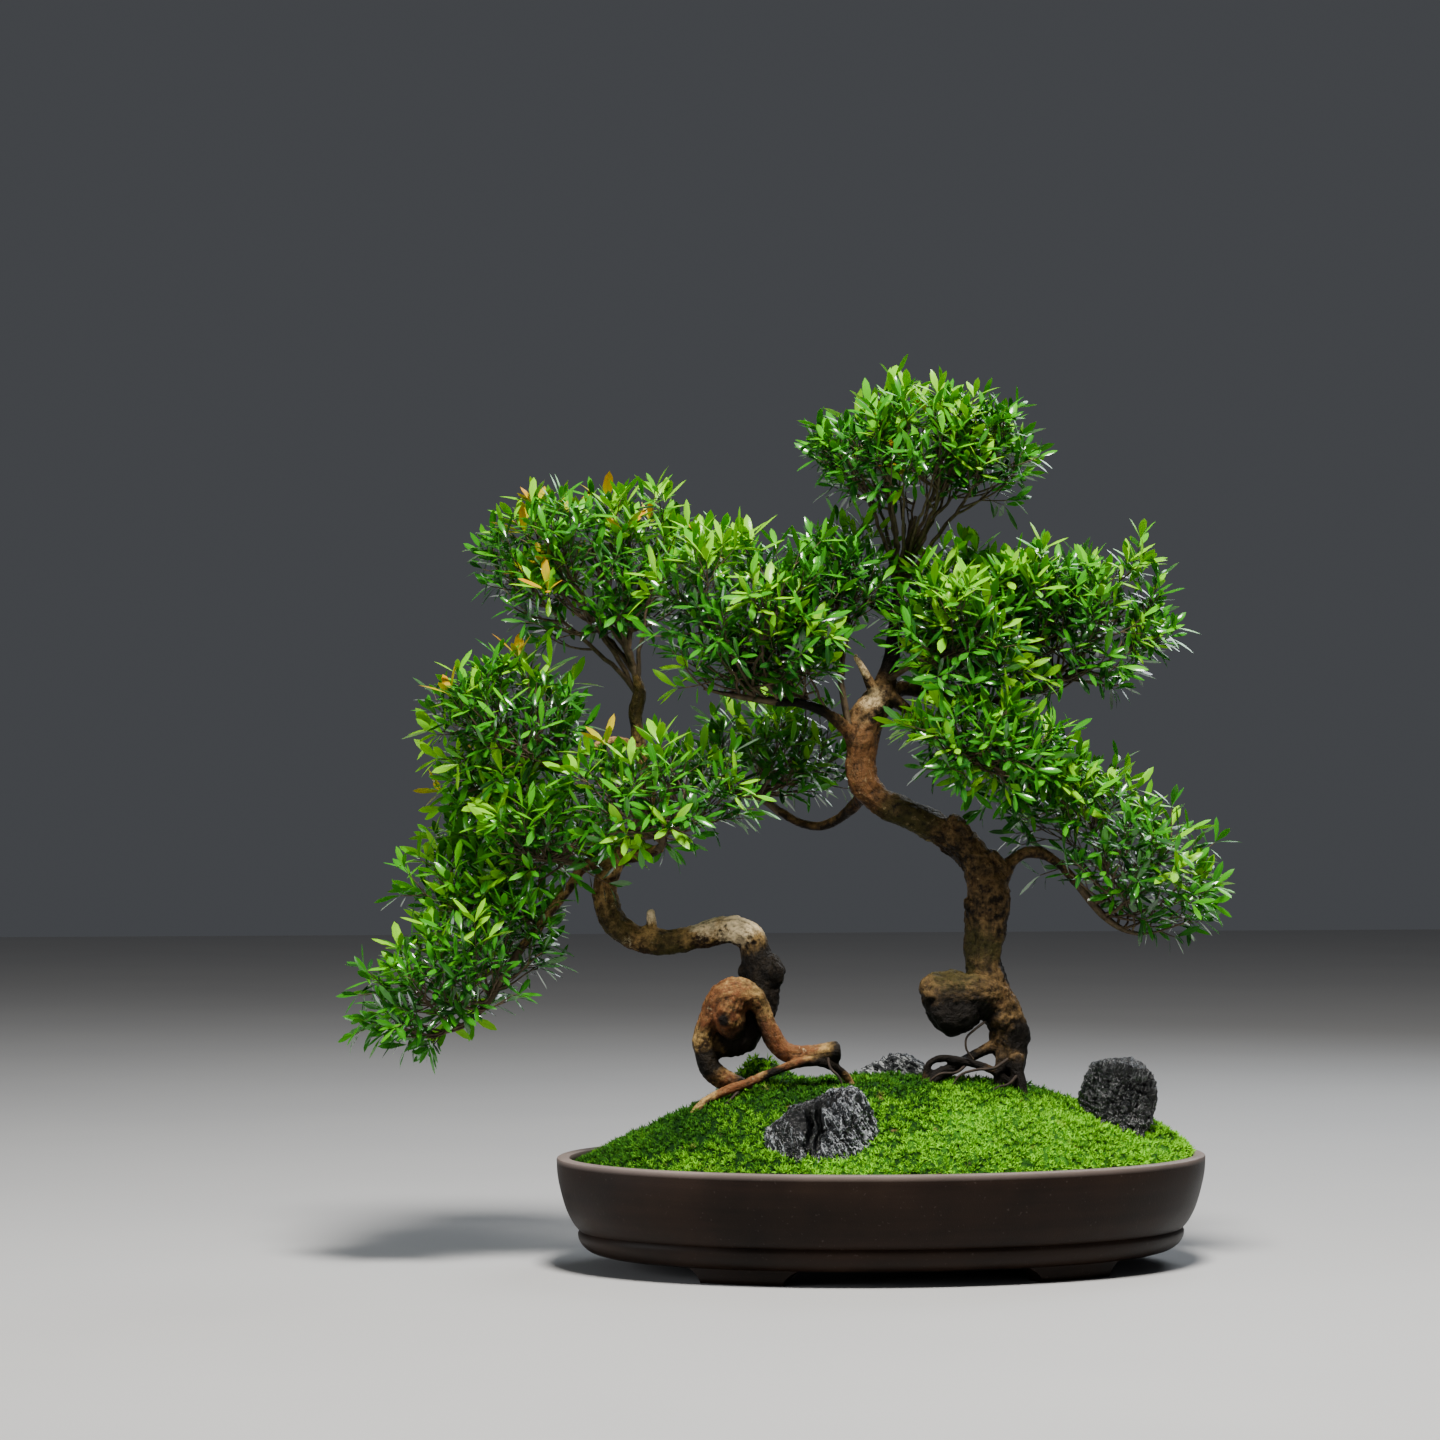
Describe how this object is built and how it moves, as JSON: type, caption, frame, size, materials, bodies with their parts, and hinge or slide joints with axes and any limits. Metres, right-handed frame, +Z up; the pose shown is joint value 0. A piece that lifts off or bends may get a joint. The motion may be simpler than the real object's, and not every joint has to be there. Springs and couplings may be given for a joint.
{
  "type": "boxleaf eugenia bonsai",
  "caption": "Boxleaf eugenia bonsai with gnarled trunks, exposed roots and leafy sprays on a mossy mound with dark stones, in an oval unglazed clay pot.",
  "frame": {"origin": "middle of the whole object's footprint, on the plane that the pot's feet stand on", "axes": "+Z up, +X along the pot's long axis towards the taller tree, +Y away from the front; the trees' front is turned 10 degrees about Z from the pot's front"},
  "size_m": [0.6136, 0.33, 0.6436],
  "materials": {
    "clay": "unglazed, satin",
    "screen": "matte",
    "soil": "rough, crumbly",
    "moss": "soft pile",
    "stone": "rough, slightly wet",
    "bark": "rough bark",
    "leaf": "glossy leaf"
  },
  "bodies": {
    "root": {"pot": "clay", "left_drain_screen": "screen", "right_drain_screen": "screen", "soil": "soil", "moss": "moss", "front_stone": "stone", "right_stone": "stone", "back_stone": "stone", "left_trunk": "bark", "right_trunk": "bark", "left_crown_spray": "leaf", "left_upper_spray": "leaf", "left_middle_spray": "leaf", "left_back_spray": "leaf", "left_cascade_spray": "leaf", "right_apex_spray": "leaf", "right_left_spray": "leaf", "right_inner_spray": "leaf", "right_shoulder_spray": "leaf", "right_outer_spray": "leaf", "right_back_spray": "leaf", "right_low_spray": "leaf", "right_under_spray": "leaf"}
  },
  "joints": []
}
